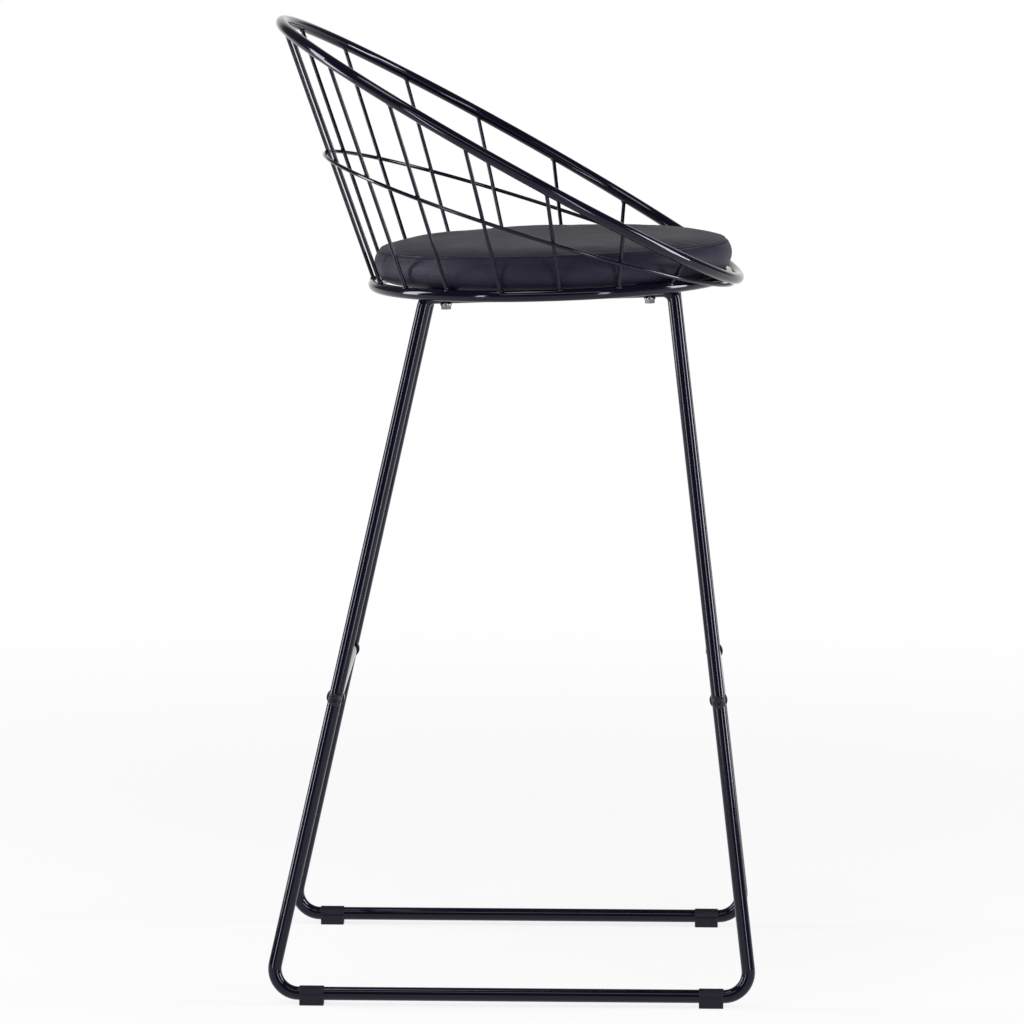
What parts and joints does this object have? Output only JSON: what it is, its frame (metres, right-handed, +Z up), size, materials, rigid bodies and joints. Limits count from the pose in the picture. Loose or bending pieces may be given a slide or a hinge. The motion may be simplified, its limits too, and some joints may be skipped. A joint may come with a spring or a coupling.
{
  "type": "bar stool",
  "caption": "Bar stool with a round padded seat, a flared wire basket back with a looped rail, a bent-tube sled base and footrest bars.",
  "frame": {"origin": "on the floor, under the middle of the stool's overall length and width", "axes": "+Z up, -Y the way the sitter faces, +X to the sitter's left"},
  "size_m": [0.4958, 0.5015, 1.0027],
  "materials": {
    "black_frame": "gloss black powder coat",
    "black_bolt": "satin black",
    "bright_steel": "bright zinc plate",
    "glide_plastic": "matt black",
    "seat_leather": "smooth satin imitation leather",
    "seat_foam": "open-cell foam",
    "seat_plywood": "raw plywood"
  },
  "bodies": {
    "root": {"back_rail": "black_frame", "back_wire_centre": "black_frame", "back_wire_left_1": "black_frame", "back_wire_left_2": "black_frame", "back_wire_left_3": "black_frame", "back_wire_left_4": "black_frame", "back_wire_left_5": "black_frame", "back_wire_left_6": "black_frame", "back_wire_left_7": "black_frame", "back_wire_right_1": "black_frame", "back_wire_right_2": "black_frame", "back_wire_right_3": "black_frame", "back_wire_right_4": "black_frame", "back_wire_right_5": "black_frame", "back_wire_right_6": "black_frame", "back_wire_right_7": "black_frame", "foot_glide_front_left": "glide_plastic", "foot_glide_front_right": "glide_plastic", "foot_glide_rear_left": "glide_plastic", "foot_glide_rear_right": "glide_plastic", "footrest_bar_front": "black_frame", "footrest_bar_rear": "black_frame", "footrest_bolts": "black_bolt", "footrest_inserts": "bright_steel", "leg_frame_left": "black_frame", "leg_frame_right": "black_frame", "middle_hoop": "black_frame", "seat_board": "seat_plywood", "seat_cover": "seat_leather", "seat_foam": "seat_foam", "seat_ring": "black_frame", "seat_screws": "bright_steel", "seat_strap_front": "black_frame", "seat_strap_rear": "black_frame", "seat_washers": "bright_steel", "tee_nuts": "bright_steel"}
  },
  "joints": []
}
